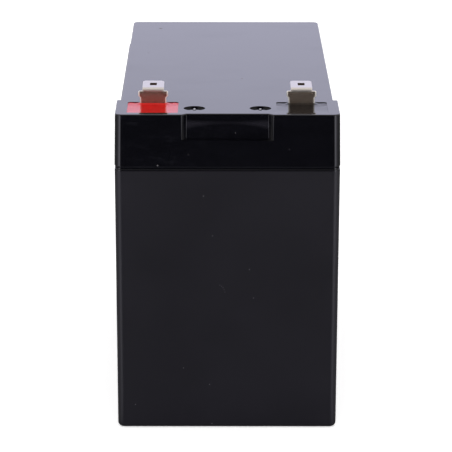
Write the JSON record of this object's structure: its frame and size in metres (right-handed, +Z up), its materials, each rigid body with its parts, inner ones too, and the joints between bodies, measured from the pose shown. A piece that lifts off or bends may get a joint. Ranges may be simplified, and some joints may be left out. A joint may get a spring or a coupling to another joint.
{
  "type": "lithium iron phosphate battery",
  "caption": "Sealed block battery in a black moulded case with a stepped lid, sunk terminal pockets filled with red and black resin, and bent push-on tabs.",
  "frame": {"origin": "middle of the underside of the case", "axes": "+Z up, +X across the width towards the negative tab, +Y along the length away from the terminal end"},
  "size_m": [0.065, 0.151, 0.0989],
  "materials": {
    "case_abs": "black moulded ABS, satin case and glossier lid",
    "resin_red": "glossy red poured resin",
    "resin_black": "glossy black poured resin",
    "tab_brass": "tinned brass, slightly tarnished",
    "cell_sleeve": "shrunk blue sleeve over a steel can",
    "bracket_abs": "black moulded bracket",
    "strip_nickel": "rolled nickel",
    "fibre_board": "pressed grey-green insulating fibre",
    "foam_tape": "white foam tape",
    "board_laminate": "green coated glass laminate",
    "chip_epoxy": "black moulded epoxy",
    "shunt_metal": "plated resistor",
    "socket_nylon": "natural nylon",
    "lead_red": "red silicone sleeve",
    "lead_black": "black silicone sleeve",
    "lead_white": "thin white sleeve",
    "foam_eva": "closed-cell black foam"
  },
  "bodies": {
    "root": {"case": "case_abs", "lid": "case_abs", "positive_tab": "tab_brass", "negative_tab": "tab_brass", "positive_resin": "resin_red", "negative_resin": "resin_black", "upper_bracket": "bracket_abs", "lower_bracket": "bracket_abs", "top_strip_positive": "strip_nickel", "top_strip_middle": "strip_nickel", "top_strip_negative": "strip_nickel", "bottom_strip_front": "strip_nickel", "bottom_strip_rear": "strip_nickel", "insulating_board": "fibre_board", "board_tape": "foam_tape", "protection_board": "board_laminate", "board_transistors": "chip_epoxy", "board_chip": "chip_epoxy", "board_shunts": "shunt_metal", "sense_socket": "socket_nylon", "sense_plug": "socket_nylon", "positive_lead": "lead_red", "negative_lead": "lead_black", "pack_lead": "lead_black", "floor_pad": "foam_eva", "front_block": "foam_eva", "rear_block": "foam_eva", "front_foam": "foam_eva", "rear_foam": "foam_eva", "cell_1_left": "cell_sleeve", "cell_1_right": "cell_sleeve", "cell_2_left": "cell_sleeve", "cell_2_right": "cell_sleeve", "cell_3_left": "cell_sleeve", "cell_3_right": "cell_sleeve", "cell_4_left": "cell_sleeve", "cell_4_right": "cell_sleeve", "sense_lead_1": "lead_white", "sense_lead_2": "lead_white", "sense_lead_3": "lead_white", "sense_lead_4": "lead_white", "sense_lead_5": "lead_white"}
  },
  "joints": []
}
